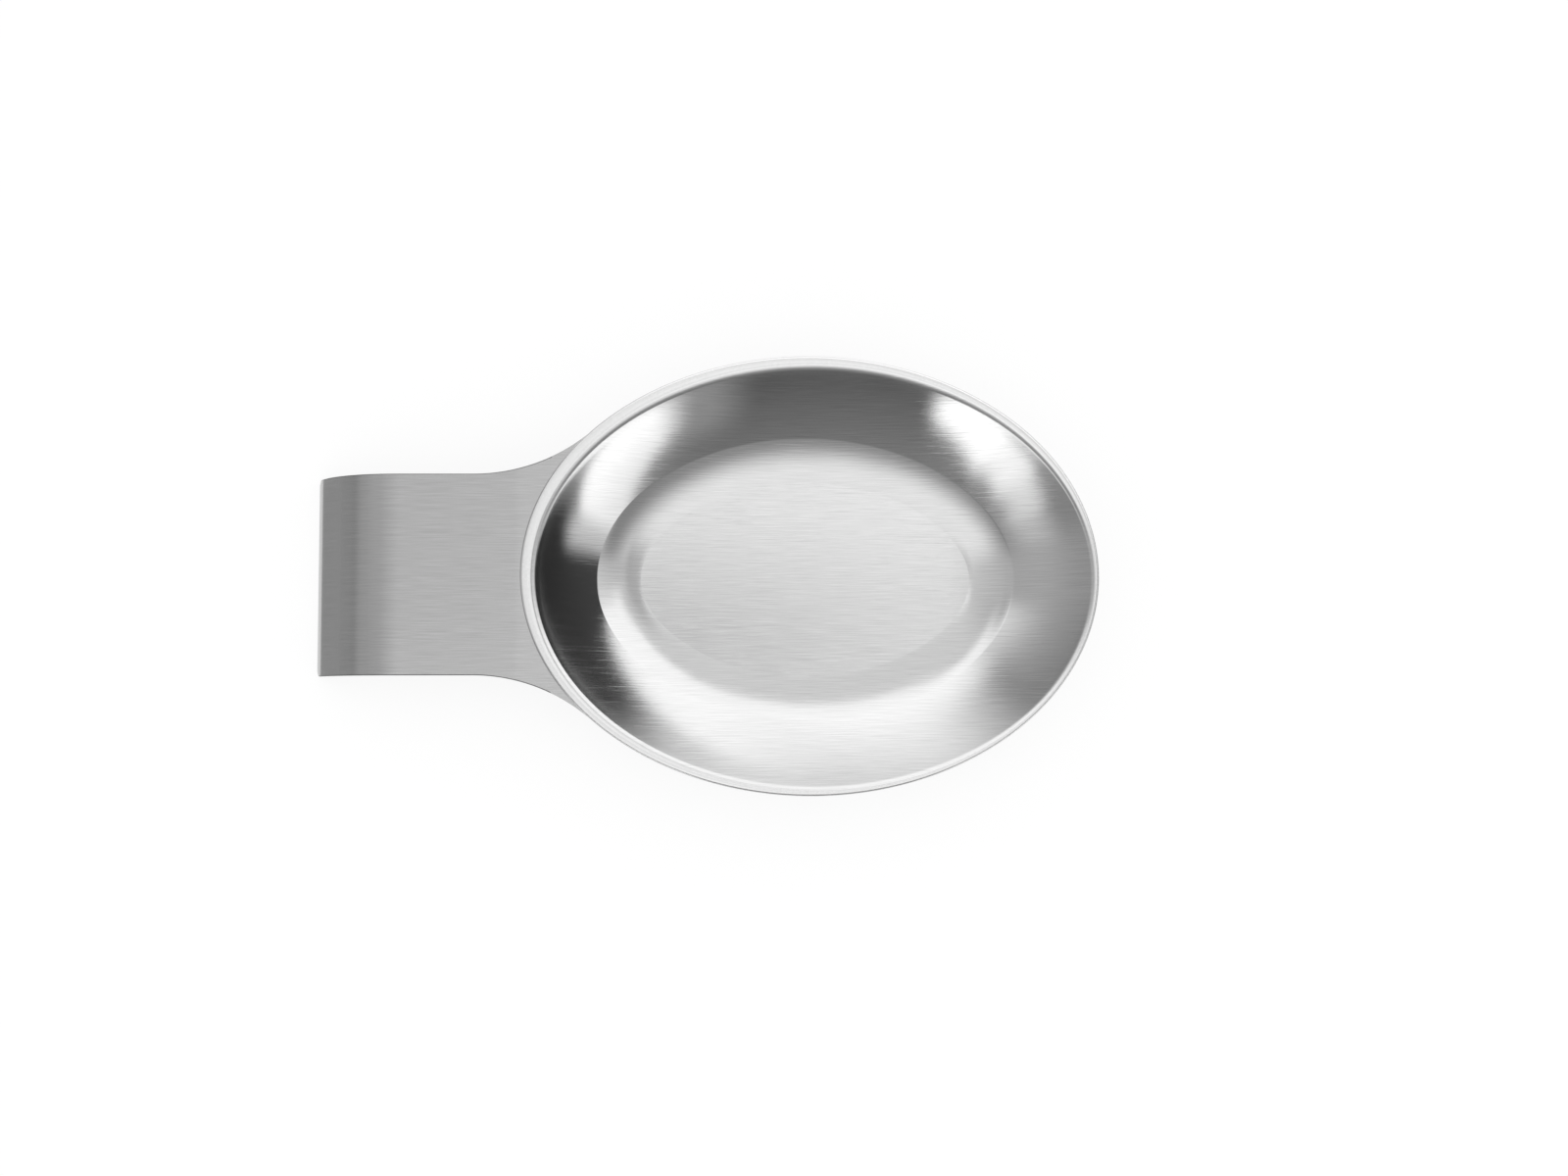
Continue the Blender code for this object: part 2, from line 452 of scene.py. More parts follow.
def thicken(piece: bpy.types.Object, sheet: float, upper: float, lower: float, rounded: Face) -> None:
    """Give a drawn face its sheet thickness below and round the edges of the cut.

    Args:
        piece: Piece whose mesh is the upper side of the sheet.
        sheet: Thickness of the sheet.
        upper: Radius of the upper edge.
        lower: Radius of the lower edge.
        rounded: Finish of the upper edge.
    """
    solid = piece.modifiers.new("sheet", "SOLIDIFY")
    solid.thickness = sheet
    solid.offset = -1
    solid.use_even_offset = True
    solid.use_quality_normals = True
    solid.material_offset_rim = Face.CUT.value
    depsgraph = bpy.context.evaluated_depsgraph_get()
    skin = piece.data
    piece.data = bpy.data.meshes.new_from_object(piece.evaluated_get(depsgraph), depsgraph=depsgraph)
    piece.data.name = piece.name
    piece.modifiers.clear()
    bpy.data.meshes.remove(skin)
    mesh = bmesh.new()
    mesh.from_mesh(piece.data)
    for side, radius, finish in ((1, upper, rounded), (-1, lower, Face.CUT)):
        edges = [e for e in mesh.edges if is_cut_edge(e, side)]
        bevel = bmesh.ops.bevel(mesh, geom=edges, offset=radius, offset_type="OFFSET", affect="EDGES",
                                segments=EDGE_STEPS, profile=0.5, material=-1)
        for face in bevel["faces"]:
            face.material_index = finish.value
    mesh.to_mesh(piece.data)
    mesh.free()
    smooth(piece)


def is_cut_edge(edge: bmesh.types.BMEdge, side: int) -> bool:
    """Tell whether an edge lies between the cut and the upper or lower side of a sheet.

    Args:
        edge: Edge of the thickened sheet.
        side: 1 for the upper side, -1 for the lower one.

    Returns:
        True for an edge of the cut on that side.
    """
    cut = [f for f in edge.link_faces if f.material_index == Face.CUT.value]
    broad = [f for f in edge.link_faces if f.material_index != Face.CUT.value]
    return len(cut) == 1 and len(broad) == 1 and broad[0].normal.z * side > 0


def place(piece: bpy.types.Object, node: str) -> None:
    """Let a piece stand for its solid and report it.

    Args:
        piece: Finished piece.
        node: Solid that the piece stands for.
    """
    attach(piece, "root")
    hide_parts(node)
    LOG.info("%s: %d faces, stands for %s", piece.name, len(piece.data.polygons), node)


@dataclass
class Bowl:
    """Drawn oval bowl: level rim, rounded lip, hollow wall, crease, cove and flat floor.

    The section is the same all the way round, parallel to the rim, but the rim was trimmed a little
    out of true: it is broader at the handle than at the free end, and the crease lies nearer to it there.
    """

    low: Vector
    high: Vector
    sheet: float = 1.0 * MM
    rim_flat: float = 1.25 * MM
    rim_shift: Vector = field(default_factory=lambda: Vector((1.05, -0.6, 0)) * MM)
    crease_shift: Vector = field(default_factory=lambda: Vector((-0.5, 0, 0)) * MM)
    lip_radius: float = 3.6 * MM
    wall_top: float = 43.9
    wall_foot: float = 34.5
    crease_inset: float = 22.9 * MM
    crease_width: float = 0.25 * MM
    cove_width: float = 13.3 * MM
    cove_end: float = 9.5
    edge_round: float = 0.75 * MM
    lower_round: float = 0.2 * MM
    edge_support: float = 0.85 * MM
    segments: int = 384
    buffed_rings: int = 7
    lip_steps: int = 12
    wall_steps: int = 16
    cove_steps: int = 24
    floor_steps: int = 3
    floor_step: float = 3.0 * MM

    def profile(self) -> Profile:
        """Work out the upper side from the rim's edge to the floor.

        Returns:
            Insets from the rim's edge and heights.
        """
        top, foot = math.radians(self.wall_top), math.radians(self.wall_foot)
        points = [(0.0, self.high.z), (self.edge_support, self.high.z)]
        points += arc((self.rim_flat, self.high.z - self.lip_radius), self.lip_radius,
                      math.pi / 2, math.pi / 2 - top, self.lip_steps)
        inset, height = points[-1]
        radius = (self.crease_inset - inset) / (math.sin(top) - math.sin(foot))
        points += arc((inset + radius * math.sin(top), height + radius * math.cos(top)), radius,
                      -math.pi / 2 - top, -math.pi / 2 - foot, self.wall_steps)[1:]
        inset, height = points.pop()
        points.append((inset - self.crease_width, height + self.crease_width * math.tan(foot)))
        points.append((inset, height))
        end = math.radians(self.cove_end)
        cove = 2 * math.atan2(height - self.sheet, self.cove_width) - end
        radius = self.cove_width / (math.sin(cove) - math.sin(end))
        eased = cove - self.crease_width / (radius * math.cos(cove))
        points += arc((inset + radius * math.sin(cove), height + radius * math.cos(cove)), radius,
                      -math.pi / 2 - eased, -math.pi / 2 - end, self.cove_steps)
        return points

    def shift(self, inset: float) -> Vector:
        """Find how far a ring lies off the middle of the rim, which was trimmed a little out of true.

        Args:
            inset: Distance of the ring from the rim's edge.

        Returns:
            Shift of the ring.
        """
        lip_end = self.rim_flat + self.lip_radius * math.sin(math.radians(self.wall_top))
        if inset < lip_end:
            left = 1 - max(inset - self.edge_support, 0) / (lip_end - self.edge_support)
            return self.rim_shift * (1 - left ** 2)
        down = (inset - lip_end) / (self.crease_inset - lip_end)
        return self.rim_shift.lerp(self.crease_shift, min(down, 1.0))

    def draw(self) -> bmesh.types.BMesh:
        """Press the upper side out of a flat oval blank, step by step.

        Returns:
            The upper side, with the buffed rim marked.
        """
        mesh = bmesh.new()
        bmesh.ops.create_circle(mesh, cap_ends=True, segments=self.segments, radius=1.0)
        half = (self.high - self.low) / 2
        bmesh.ops.scale(mesh, vec=(half.x, half.y, 1), verts=mesh.verts)
        middle = (self.low + self.high) / 2
        bmesh.ops.translate(mesh, vec=(middle.x, middle.y, self.high.z), verts=mesh.verts)
        floor = mesh.faces[:][0]
        if floor.normal.z < 0:
            bmesh.ops.reverse_faces(mesh, faces=[floor])
        points = self.profile()
        depth_in = mesh.verts.layers.float.new(RIM_INSET)
        for i, (before, after) in enumerate(zip(points, points[1:])):
            ring = bmesh.ops.inset_region(
                mesh, faces=[floor], thickness=after[0] - before[0], depth=after[1] - before[1],
                use_boundary=True, use_even_offset=True)["faces"]
            bmesh.ops.translate(mesh, vec=self.shift(after[0]) - self.shift(before[0]), verts=floor.verts)
            for vert in floor.verts:
                vert[depth_in] = after[0]
            finish = Face.BUFFED if i < self.buffed_rings else Face.BRUSHED
            for face in ring:
                face.material_index = finish.value
        for _ in range(self.floor_steps):
            bmesh.ops.inset_region(mesh, faces=[floor], thickness=self.floor_step, use_even_offset=True)
            for vert in floor.verts:
                vert[depth_in] = points[-1][0]
        return mesh

    def keep_border_crisp(self, piece: bpy.types.Object) -> None:
        """Mark the bend where the cove meets the floor as sharp.

        Args:
            piece: The thickened bowl.
        """
        mesh = bmesh.new()
        mesh.from_mesh(piece.data)
        for edge in mesh.edges:
            height = max(vert.co.z for vert in edge.verts)
            tilts = [1 - face.normal.z for face in edge.link_faces]
            if abs(height - self.sheet) < ROUND_OFF and min(tilts) < ROUND_OFF < max(tilts):
                edge.smooth = False
        mesh.to_mesh(piece.data)
        mesh.free()

    def build(self, finishes: list[bpy.types.Material]) -> bpy.types.Object:
        """Make the bowl.

        Args:
            finishes: Brushed, buffed and cut steel.

        Returns:
            The finished piece.
        """
        mesh = self.draw()
        lay_grain(mesh)
        piece = put_in_scene("bowl_dish", mesh, finishes)
        thicken(piece, self.sheet, self.edge_round, self.lower_round, Face.BUFFED)
        self.keep_border_crisp(piece)
        place(piece, "bowl")
        return piece


@dataclass
class Handle:
    """Strap handle: a flat blank with a hollow, flared end, bent to fall slightly and roll to the table."""

    bowl: Bowl
    width: float = 60.5 * MM
    sheet: float = 1.0 * MM
    gap: float = 0.3 * MM
    run: float = 36.5 * MM
    fall: float = 2.3
    fall_radius: float = 40 * MM
    roll_radius: float = 30 * MM
    flare_radius: float = 54 * MM
    corner_radius: float = 2.0 * MM
    lap: float = 2.6 * MM
    edge_round: float = 0.3 * MM
    edge_support: float = 0.6 * MM
    side_steps: int = 64
    flare_steps: int = 40
    lap_steps: int = 3
    across_steps: int = 48
    corner_steps: int = 6
    rim: Vector = field(init=False)
    top: float = field(init=False)

    def __post_init__(self) -> None:
        """Take the rim's half axes and the strap's level from the bowl."""
        self.rim = (self.bowl.high - self.bowl.low) / 2
        self.top = self.bowl.high.z - self.bowl.sheet - self.gap

    def rim_point(self, angle: float, inset: float) -> Vector:
        """Find a point on a line parallel to the rim.

        Args:
            angle: Angle on the rim's ellipse, from the handle's side.
            inset: Distance in from the rim's edge.

        Returns:
            Reach towards the handle and distance across it.
        """
        edge = Vector((self.rim.x * math.cos(angle), self.rim.y * math.sin(angle)))
        normal = Vector((self.rim.y * math.cos(angle), self.rim.x * math.sin(angle))).normalized()
        return edge - normal * inset

    def meeting_angle(self) -> float:
        """Find where the sweeping side runs into the rim.

        Returns:
            Angle on the rim's ellipse, from the handle's side.
        """
        low, high = 0.0, math.pi / 2
        for _ in range(HALVINGS):
            middle = (low + high) / 2
            if self.rim_point(middle, -self.flare_radius).y < self.width / 2 + self.flare_radius:
                low = middle
            else:
                high = middle
        return (low + high) / 2

    def roll_turn(self) -> float:
        """Work out how far the roll turns until the sheet's end meets the table.

        Returns:
            Slope of the strap at its free end, in radians.
        """
        fall = math.radians(self.fall)
        straight = self.run - self.fall_radius * fall
        start = self.top - self.fall_radius * (1 - math.cos(fall)) - straight * math.sin(fall)
        left = self.roll_radius * math.cos(fall) - start
        return math.acos(left / (self.roll_radius - self.sheet))

    def reach(self) -> float:
        """Length of the flat blank from the bowl's middle to the free end."""
        return self.rim.x + self.run + self.roll_radius * (self.roll_turn() - math.radians(self.fall))

    def side(self) -> Profile:
        """Draw one side of the flat blank, from the free end to the hollow end.

        Returns:
            Reaches and distances across.
        """
        meet = self.meeting_angle()
        centre = self.rim_point(meet, -self.flare_radius)
        end = self.rim_point(meet, 0)
        turn = math.atan2(end.y - centre.y, end.x - centre.x)
        inner = (self.reach() - self.corner_radius, self.width / 2 - self.corner_radius)
        corner = arc(inner, self.corner_radius, 0, math.pi / 2, self.corner_steps)
        step = (inner[0] - centre.x) / self.side_steps
        straight = [(inner[0] - step * (i + 1), self.width / 2) for i in range(self.side_steps)]
        sweep = arc((centre.x, centre.y), self.flare_radius, -math.pi / 2, turn, self.flare_steps)
        under = [self.rim_point(meet, self.lap * (i + 1) / self.lap_steps) for i in range(self.lap_steps)]
        return corner + straight + sweep[1:] + [(p.x, p.y) for p in under]

    def blank(self) -> bmesh.types.BMesh:
        """Cut the flat blank: a grid that is drawn out to the strap's outline.

        Returns:
            The blank at height 0, with its reach along -X.
        """
        side = self.side()
        tip = side[-1]
        nose = self.rim_point(0, self.lap).x
        columns, plain = len(side) - 1, self.corner_steps + self.side_steps
        mesh = bmesh.new()
        bmesh.ops.create_grid(mesh, x_segments=columns, y_segments=self.across_steps, size=1.0)
        row_share = 2 / self.across_steps
        for vert in mesh.verts:
            column = round((vert.co.x + 1) / 2 * columns)
            reach, across = side[column]
            share = vert.co.y
            rows_from_side = round((1 - abs(share)) / row_share)
            if rows_from_side == 1:
                share = math.copysign(1 - self.edge_support / across, share)
            middle = side[min(column, plain)][0]
            middle += (nose - middle) * max(column - plain, 0) / (columns - plain)
            bow = self.bow(share * tip[1], nose, tip)
            vert.co.x = -(middle + (reach - middle) * bow)
            vert.co.y = share * across
        return mesh

    def bow(self, across: float, nose: float, tip: tuple[float, float]) -> float:
        """Share of the hollow end's bow at a distance across the strap.

        Args:
            across: Distance from the middle.
            nose: Reach of the hollow end in the middle.
            tip: Reach and distance across at the side.

        Returns:
            0 in the middle, 1 at the side.
        """
        width = self.rim.y - self.lap
        reach = nose * math.sqrt(1 - (across / width) ** 2)
        end = nose * math.sqrt(1 - (tip[1] / width) ** 2)
        return (reach - nose) / (end - nose)

    def bend(self, reach: float) -> tuple[float, float]:
        """Place a point of the flat blank on the bent strap.

        Args:
            reach: Distance from the bowl's middle on the blank.

        Returns:
            Distance from the bowl's middle and height of the upper side.
        """
        length = reach - self.rim.x
        if length <= 0:
            return reach, self.top
        fall = math.radians(self.fall)
        eased = self.fall_radius * fall
        turn = min(length, eased) / self.fall_radius
        along = self.rim.x + self.fall_radius * math.sin(turn)
        height = self.top - self.fall_radius * (1 - math.cos(turn))
        straight = min(max(length - eased, 0), self.run - eased)
        along += straight * math.cos(fall)
        height -= straight * math.sin(fall)
        tilt = fall + max(length - self.run, 0) / self.roll_radius
        along += self.roll_radius * (math.sin(tilt) - math.sin(fall))
        height -= self.roll_radius * (math.cos(fall) - math.cos(tilt))
        return along, height

    def build(self, finishes: list[bpy.types.Material]) -> bpy.types.Object:
        """Make the handle.

        Args:
            finishes: Brushed, buffed and cut steel.

        Returns:
            The finished piece.
        """
        mesh = self.blank()
        lay_grain(mesh)
        middle = (self.bowl.low.x + self.bowl.high.x) / 2
        for vert in mesh.verts:
            along, height = self.bend(-vert.co.x)
            vert.co.x = middle - along
            vert.co.z = height
        mesh.normal_update()
        if sum(face.normal.z for face in mesh.faces) < 0:
            bmesh.ops.reverse_faces(mesh, faces=mesh.faces)
        piece = put_in_scene("handle_strap", mesh, finishes)
        thicken(piece, self.sheet, self.edge_round, self.edge_round, Face.CUT)
        place(piece, "handle")
        return piece


@dataclass
class WeldSeam:
    """Fillet weld in the corner under the rim: a bead with the small ripples of its making."""

    handle: Handle
    low: Vector
    high: Vector
    radius: float = 0.85 * MM
    axis_drop: float = 0.7
    ripple: float = 1.4 * MM
    ripple_swell: float = 0.10
    sides: int = 14
    steps_per_ripple: int = 5

    def build(self, finish: bpy.types.Material) -> bpy.types.Object:
        """Make the bead: a round bar, cut into short lengths, bent along the rim.

        Args:
            finish: Weld steel.

        Returns:
            The finished piece.
        """
        half = (self.high.y - self.low.y) / 2
        inset = self.handle.lap
        steps = round(2 * half / self.ripple * self.steps_per_ripple)
        mesh = bmesh.new()
        bmesh.ops.create_cone(mesh, cap_ends=True, segments=self.sides,
                              radius1=self.radius, radius2=self.radius, depth=2 * half)
        lengths = [e for e in mesh.edges if abs(e.verts[0].co.z - e.verts[1].co.z) > half]
        bmesh.ops.subdivide_edges(mesh, edges=lengths, cuts=steps)
        middle = (self.handle.bowl.low.x + self.handle.bowl.high.x) / 2
        level = self.high.z - self.radius * self.axis_drop
        for vert in mesh.verts:
            across = vert.co.z
            angle = math.asin(max(-1, min(1, across / self.handle.rim.y)))
            spot = self.handle.rim_point(angle, inset)
            normal = (self.handle.rim_point(angle, 0) - spot).normalized()
            swell = 1 + self.ripple_swell * math.sin(2 * math.pi * across / self.ripple)
            out = vert.co.x * swell
            vert.co = (middle - spot.x - normal.x * out, spot.y + normal.y * out, level + vert.co.y * swell)
        bmesh.ops.recalc_face_normals(mesh, faces=mesh.faces)
        piece = put_in_scene("weld_bead", mesh, [finish])
        smooth(piece)
        place(piece, "weld_seam")
        return piece


def show_to_metal_only(piece: bpy.types.Object) -> None:
    """Make a piece part of the studio that is seen in reflections alone.

    Args:
        piece: Piece of the studio.
    """
    piece.visible_camera = False
    piece.visible_diffuse = False
    piece.visible_transmission = False
    piece.visible_shadow = False


@dataclass(frozen=True)
class Panel:
    """One bright or dark panel of the light tent, with soft borders.

    All in degrees: +X is 0 and +Y is 90 in azimuth, the lean is the rise for each degree of azimuth.
    """

    azimuth: float
    half_width: float
    low: float
    high: float
    low_light: float
    high_light: float
    side_softness: float = 12.0
    end_softness: float = 6.0
    lean: float = 0.0


# azimuth, half width, low and high border, light at each of these, softness of sides and ends, lean
TENT_PANELS = (
    # dim side in front of the bowl
    Panel(266, 40, -8, 46, 0.00, 0.40, 12, 5),
    # cloth overhead: paler behind the bowl's far side, grey beyond its free end and over the handle
    Panel(75, 75, 50, 84, 0.97, 0.97, 15, 4),
    Panel(5, 14, 34, 60, 0.96, 0.70, 10, 4),
    Panel(11, 33, 60, 84, 0.58, 0.80, 9, 3),
    Panel(176, 20, 28, 56, 0.55, 0.69, 12, 4),
    Panel(164, 36, 54, 89, 0.68, 0.98, 14, 3),
    # bright wall behind the bowl's far side, dimmer low down
    Panel(88, 30, -8, 8, 1.12, 1.17, 16, 4),
    Panel(88, 26, 8, 26, 1.16, 1.52, 14, 3),
    Panel(86, 24, 25, 50, 1.57, 1.50, 14, 3),
    Panel(48, 30, 14.7, 53, 1.60, 1.50, 12, 0.7, -0.22),
    Panel(28, 14, 54, 62, 0.95, 0.72, 8, 3),
    Panel(110, 25, 24, 47, 1.60, 1.52, 10, 2.5, 0.22),
    # grey cloth at the handle's end, dark cloth beyond the free end
    Panel(162, 36, 10, 32, 0.20, 0.65, 8, 4),
    Panel(139, 17, 30, 46.5, 1.10, 1.35, 10, 5),
    Panel(180, 18, -8, 20, 0.48, 0.48, 8, 5),
    Panel(15, 42, -8, 22.2, 0.00, 0.09, 8, 1, -0.27),
    # soft box in front at the right, with a dim skirt and a softer end
    Panel(296, 8, -8, 19.5, 0.42, 0.42, 5, 2),
    Panel(341, 9, 9.5, 42, 0.92, 0.62, 6, 2),
    Panel(317.5, 18.5, 5.3, 21.3, 1.95, 1.25, 5, 1.3, 0.3),
    # soft box in front at the left, with a softer end
    Panel(206, 10, 26, 34, 0.80, 0.80, 7, 3),
    Panel(219, 8, 23.2, 31.6, 1.25, 1.05, 4, 1.5, -0.2),
    Panel(231, 7, 18, 29.7, 1.65, 1.50, 4, 1.2, -0.3),
    Panel(245, 9, 11.1, 25.1, 2.10, 1.80, 2, 0.7, -0.5),
)


@dataclass
class LightTent:
    """Round cloth tent that the metal reflects: dim low down, white overhead, with panels in its wall.

    Heights are elevations in degrees, the skirt is the share of the radius that hangs below the table.
    """

    panels: tuple[Panel, ...]
    radius: float = 2.5
    skirt: float = 0.1
    segments: int = 96
    rings: int = 48
    floor_light: float = 0.32
    wall_light: float = 0.36
    top_light: float = 1.27
    wall_height: float = 46.0
    top_height: float = 68.0

    def cloth(self) -> bpy.types.Material:
        """Build the glowing cloth.

        Returns:
            The finished material.
        """
        material = new_cloth("tent_cloth_glowing")
        tree = material.node_tree
        spot = add_node(tree, "TexCoord")
        ray = add_node(tree, "VectorMath", {0: spot.outputs["Object"]}, operation="NORMALIZE")
        parts = add_node(tree, "SeparateXYZ", {"Vector": ray.outputs["Vector"]})
        lift = add_node(tree, "Math", {0: parts.outputs["Z"]}, operation="ARCSINE")
        height = add_node(tree, "Math", {0: lift.outputs["Value"]}, operation="DEGREES").outputs["Value"]
        turn = add_node(tree, "Math", {0: parts.outputs["Y"], 1: parts.outputs["X"]}, operation="ARCTAN2")
        heading = add_node(tree, "Math", {0: turn.outputs["Value"]}, operation="DEGREES").outputs["Value"]
        wall = add_node(tree, "MapRange", {
            "Value": height, "From Min": 0.0, "From Max": self.wall_height,
            "To Min": self.floor_light, "To Max": self.wall_light,
        })
        overhead = add_node(tree, "MapRange", {
            "Value": height, "From Min": self.wall_height, "From Max": self.top_height,
        }, interpolation_type="SMOOTHSTEP")
        light = add_node(tree, "Mix", {
            "Factor": overhead.outputs["Result"], "A": wall.outputs["Result"], "B": self.top_light,
        }, data_type="FLOAT").outputs["Result"]
        for panel in self.panels:
            share = self.panel_share(tree, panel, heading, height)
            glow = add_node(tree, "MapRange", {
                "Value": height, "From Min": panel.low, "From Max": panel.high,
                "To Min": panel.low_light, "To Max": panel.high_light,
            })
            light = add_node(tree, "Mix", {
                "Factor": share, "A": light, "B": glow.outputs["Result"],
            }, data_type="FLOAT").outputs["Result"]
        shine = add_node(tree, "Emission", {"Strength": light})
        add_node(tree, "OutputMaterial", {"Surface": shine.outputs["Emission"]})
        return material

    def panel_share(self, tree: bpy.types.NodeTree, panel: Panel, heading: bpy.types.NodeSocket,
                    height: bpy.types.NodeSocket) -> bpy.types.NodeSocket:
        """Work out how much of a spot on the cloth a panel covers, with its soft borders.

        Args:
            tree: Node tree of the cloth.
            panel: The panel.
            heading: Azimuth of the spot, in degrees.
            height: Elevation of the spot, in degrees.

        Returns:
            Output with 1 inside the panel and 0 outside it.
        """
        away = add_node(tree, "Math", {0: heading, 1: panel.azimuth}, operation="SUBTRACT")
        offset = add_node(tree, "Math", {
            0: away.outputs["Value"], 1: 180.0, 2: -180.0,
        }, operation="WRAP").outputs["Value"]
        aside = add_node(tree, "Math", {0: offset}, operation="ABSOLUTE").outputs["Value"]
        level = add_node(tree, "Math", {
            0: offset, 1: -panel.lean, 2: height,
        }, operation="MULTIPLY_ADD").outputs["Value"]
        soft, end = panel.side_softness, panel.end_softness
        borders = (
            (aside, panel.half_width + soft, panel.half_width - soft),
            (level, panel.low - end, panel.low + end),
            (level, panel.high + end, panel.high - end),
        )
        share = 1.0
        for value, outside, inside in borders:
            border = add_node(tree, "MapRange", {
                "Value": value, "From Min": outside, "From Max": inside,
            }, interpolation_type="SMOOTHSTEP")
            share = add_node(tree, "Math", {
                0: border.outputs["Result"], 1: share,
            }, operation="MULTIPLY").outputs["Value"]
        return share

    def build(self) -> bpy.types.Object:
        """Hang the tent round the table, seen by the metal alone.

        Returns:
            The tent.
        """
        mesh = bmesh.new()
        bmesh.ops.create_uvsphere(mesh, u_segments=self.segments, v_segments=self.rings, radius=self.radius)
        under = [v for v in mesh.verts if v.co.z < -self.skirt * self.radius]
        bmesh.ops.delete(mesh, geom=under, context="VERTS")
        bmesh.ops.reverse_faces(mesh, faces=mesh.faces)
        tent = put_in_scene("light_tent", mesh, [self.cloth()])
        tent.data.shade_smooth()
        show_to_metal_only(tent)
        return tent


@dataclass
class TopShade:
    """Soft dark bar in the tent's white top, seen by the metal alone.

    The two ends give a place along X and how much the bar dims the light there.
    """

    height: float = 620 * MM
    middle: tuple[float, float] = (68 * MM, 42 * MM)
    half: tuple[float, float] = (128 * MM, 107 * MM)
    border: float = 26 * MM
    bar_across: float = -16 * MM
    bar_half: float = 168 * MM
    open_light: float = 1.52
    dark_end: tuple[float, float] = (-120 * MM, 0.92)
    pale_end: tuple[float, float] = (170 * MM, 0.43)

    def cloth(self) -> bpy.types.Material:
        """Build the glowing cloth with the bar in it, which fades out at its border.

        Returns:
            The finished material.
        """
        material = new_cloth("tent_top_glowing")
        tree = material.node_tree
        spot = add_node(tree, "TexCoord")
        parts = add_node(tree, "SeparateXYZ", {"Vector": spot.outputs["Object"]})
        away = add_node(tree, "Math", {0: parts.outputs["Y"], 1: self.bar_across}, operation="SUBTRACT")
        aside = add_node(tree, "Math", {0: away.outputs["Value"]}, operation="ABSOLUTE")
        near = add_node(tree, "MapRange", {
            "Value": aside.outputs["Value"], "From Min": self.bar_half, "From Max": 0.0,
        }, interpolation_type="SMOOTHSTEP")
        deep = add_node(tree, "MapRange", {
            "Value": parts.outputs["X"], "From Min": self.dark_end[0], "From Max": self.pale_end[0],
            "To Min": self.dark_end[1], "To Max": self.pale_end[1],
        })
        dim = add_node(tree, "Math", {
            0: near.outputs["Result"], 1: deep.outputs["Result"],
        }, operation="MULTIPLY")
        light = add_node(tree, "Math", {
            0: self.open_light, 1: dim.outputs["Value"],
        }, operation="SUBTRACT")
        from_middle = add_node(tree, "VectorMath", {
            0: spot.outputs["Object"], 1: (*self.middle, self.height),
        }, operation="SUBTRACT")
        reach = add_node(tree, "VectorMath", {0: from_middle.outputs["Vector"]}, operation="ABSOLUTE")
        reaches = add_node(tree, "SeparateXYZ", {"Vector": reach.outputs["Vector"]})
        covers = [add_node(tree, "MapRange", {
            "Value": reaches.outputs[axis], "From Min": half, "From Max": half - self.border,
        }, interpolation_type="SMOOTHSTEP").outputs["Result"] for axis, half in zip("XY", self.half)]
        cover = add_node(tree, "Math", {0: covers[0], 1: covers[1]}, operation="MULTIPLY")
        shine = add_node(tree, "Emission", {"Strength": light.outputs["Value"]})
        clear = add_node(tree, "BsdfTransparent")
        both = add_node(tree, "MixShader", {
            0: cover.outputs["Value"], 1: clear.outputs["BSDF"], 2: shine.outputs["Emission"],
        })
        add_node(tree, "OutputMaterial", {"Surface": both.outputs["Shader"]})
        return material

    def build(self) -> bpy.types.Object:
        """Hang the cloth above the bowl.

        Returns:
            The cloth.
        """
        mesh = bmesh.new()
        bmesh.ops.create_grid(mesh, x_segments=1, y_segments=1, size=1.0)
        bmesh.ops.scale(mesh, vec=(self.half[0], self.half[1], 1), verts=mesh.verts)
        bmesh.ops.translate(mesh, vec=(*self.middle, self.height), verts=mesh.verts)
        bmesh.ops.reverse_faces(mesh, faces=mesh.faces)
        cloth = put_in_scene("top_shade", mesh, [self.cloth()])
        show_to_metal_only(cloth)
        return cloth


@dataclass
class Floor:
    """Plain white floor that runs out of sight and keeps the object's soft shadow."""

    radius: float = 4.0
    segments: int = 128
    colour: str = "#7C7C7C"
    glow: float = 0.81

    def paint(self) -> bpy.types.Material:
        """Build the floor's matt paint, lifted to white where the camera or a reflection sees it.

        Returns:
            The finished material.
        """
        material, shader = new_matt("floor_matt_white", self.colour)
        tree = material.node_tree
        path = add_node(tree, "LightPath")
        seen = path.outputs["Is Camera Ray"]
        for kind in ("Is Glossy Ray", "Is Transmission Ray"):
            seen = add_node(tree, "Math", {
                0: seen, 1: path.outputs[kind],
            }, operation="MAXIMUM").outputs["Value"]
        glow = add_node(tree, "Math", {0: seen, 1: self.glow}, operation="MULTIPLY")
        shader.inputs["Emission Color"].default_value = WHITE
        tree.links.new(glow.outputs["Value"], shader.inputs["Emission Strength"])
        return material

    def build(self) -> bpy.types.Object:
        """Lay the floor.

        Returns:
            The floor.
        """
        mesh = bmesh.new()
        bmesh.ops.create_circle(mesh, cap_ends=True, segments=self.segments, radius=self.radius)
        floor = put_in_scene("studio_floor", mesh, [self.paint()])
        return floor


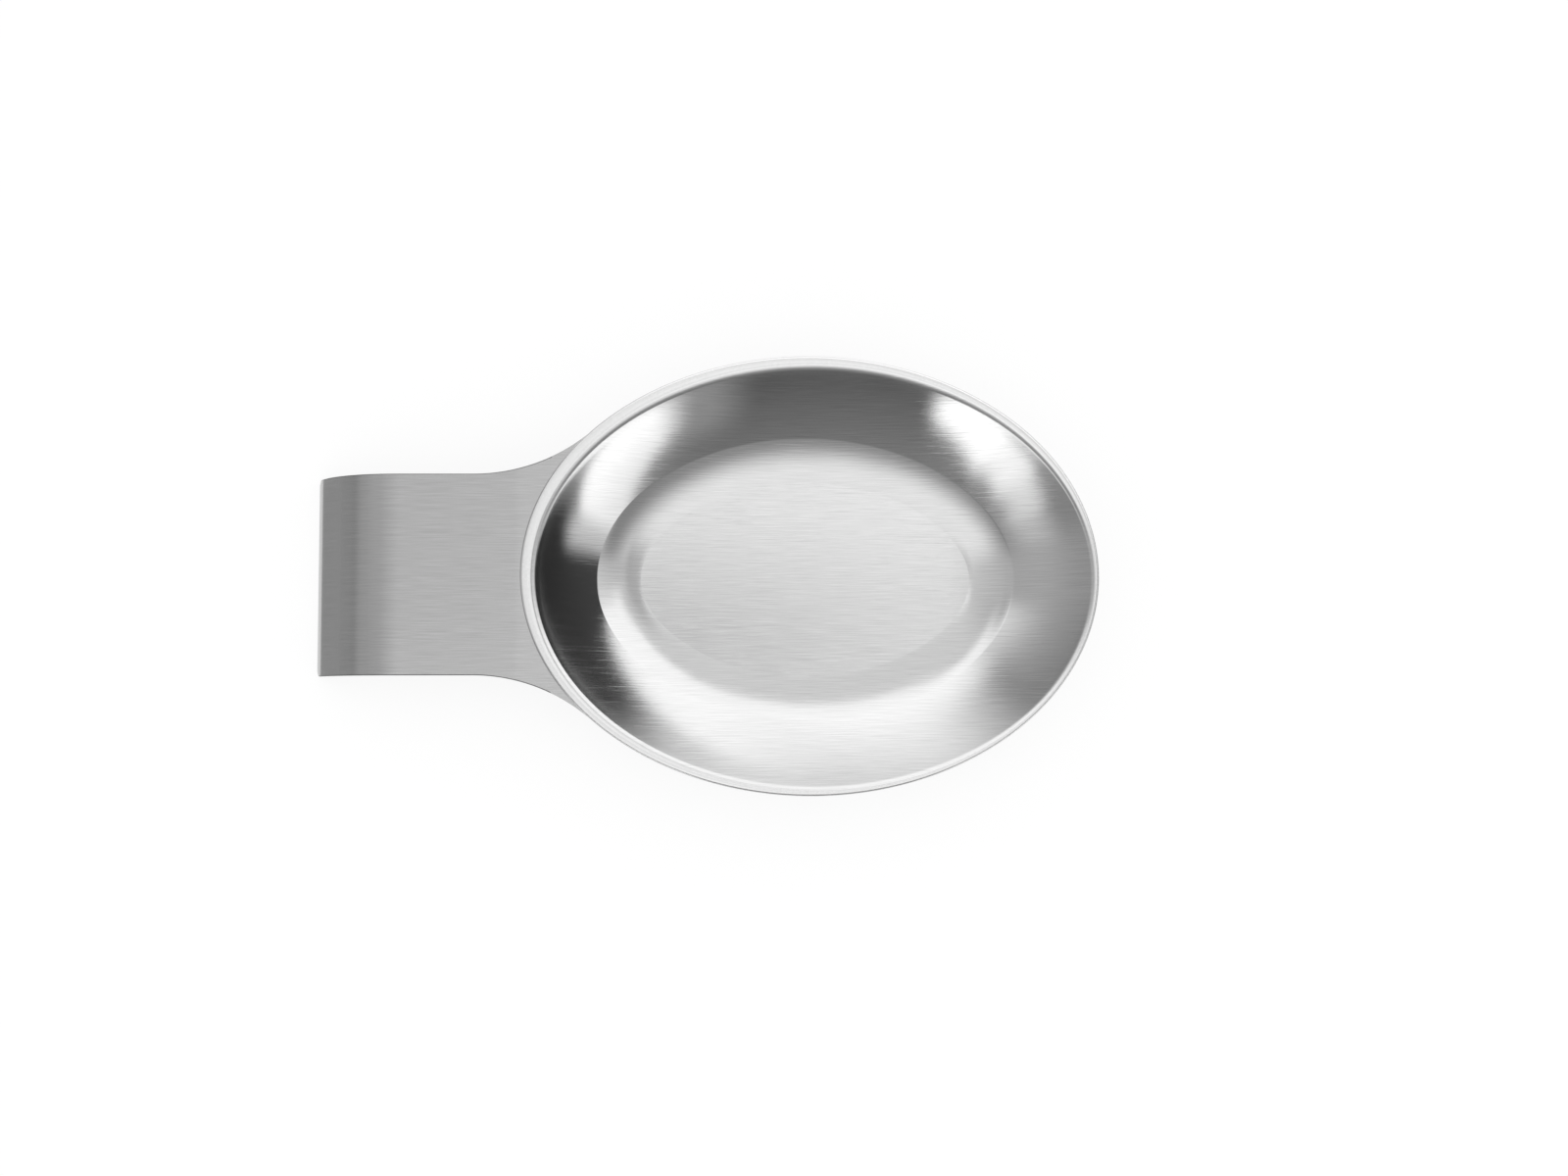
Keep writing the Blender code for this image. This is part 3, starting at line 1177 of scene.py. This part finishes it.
@dataclass
class GreyCard:
    """Grey card on the floor at the handle's end, seen by the metal alone, so that the roll stays grey."""

    low: tuple[float, float] = (-2200 * MM, -500 * MM)
    high: tuple[float, float] = (-121 * MM, 500 * MM)
    lift: float = 0.4 * MM
    colour: str = "#BBBBBB"

    def build(self) -> bpy.types.Object:
        """Lay the card.

        Returns:
            The card.
        """
        material, _ = new_matt("card_matt_grey", self.colour)
        mesh = bmesh.new()
        bmesh.ops.create_grid(mesh, x_segments=1, y_segments=1, size=0.5)
        size = (self.high[0] - self.low[0], self.high[1] - self.low[1], 1)
        middle = ((self.low[0] + self.high[0]) / 2, (self.low[1] + self.high[1]) / 2, self.lift)
        bmesh.ops.scale(mesh, vec=size, verts=mesh.verts)
        bmesh.ops.translate(mesh, vec=middle, verts=mesh.verts)
        card = put_in_scene("grey_card", mesh, [material])
        show_to_metal_only(card)
        return card


@dataclass
class Studio:
    """White room round the tent: it lights the floor and shows white to the camera."""

    brightness: float = 1.0

    def build(self) -> bpy.types.World:
        """Set the world.

        Returns:
            The world.
        """
        world = bpy.data.worlds.new("white_room")
        world.use_nodes = True
        background = world.node_tree.nodes["Background"]
        background.inputs["Color"].default_value = WHITE
        background.inputs["Strength"].default_value = self.brightness
        bpy.context.scene.world = world
        bpy.context.scene.view_settings.view_transform = "Standard"
        return world


@dataclass
class PhotoCamera:
    """Camera nearly straight above, a little to the front, as in the photograph."""

    position: Vector = field(default_factory=lambda: Vector((-10.4, -43.3, 609.1)) * MM)
    turn: tuple[float, float, float] = (3.82, -3.26, -0.08)
    lens: float = 45.0
    sensor: float = 36.0
    clip_start: float = 10 * MM

    def build(self) -> bpy.types.Object:
        """Set up the camera.

        Returns:
            The camera, made the scene's own.
        """
        data = bpy.data.cameras.new("photo_camera")
        data.lens = self.lens
        data.sensor_width = self.sensor
        data.clip_start = self.clip_start
        camera = bpy.data.objects.new("photo_camera", data)
        camera.location = self.position
        camera.rotation_euler = Euler([math.radians(a) for a in self.turn])
        bpy.context.scene.collection.objects.link(camera)
        bpy.context.scene.camera = camera
        return camera


def main() -> None:
    """Build the spoon rest and its studio."""
    logging.basicConfig(level=logging.INFO, format="%(name)s: %(message)s")
    # the buffed steel's colour carries a painted highlight, the cut steel's painted shade
    buffed, cut = BuffedSteelWithPaintedHighlight().make(), CutSteelWithPaintedShade().make()
    bowl = Bowl(*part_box("bowl"))
    bowl.build([BrushedSteel().make(), buffed, cut])
    handle = Handle(bowl)
    handle.build([BrushedStrapWithPaintedShade().make(), buffed, cut])
    WeldSeam(handle, *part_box("weld_seam")).build(WeldSteel().make())
    Floor().build()
    GreyCard().build()
    LightTent(TENT_PANELS).build()
    TopShade().build()
    Studio().build()
    PhotoCamera().build()


if __name__ == "__main__":
    main()
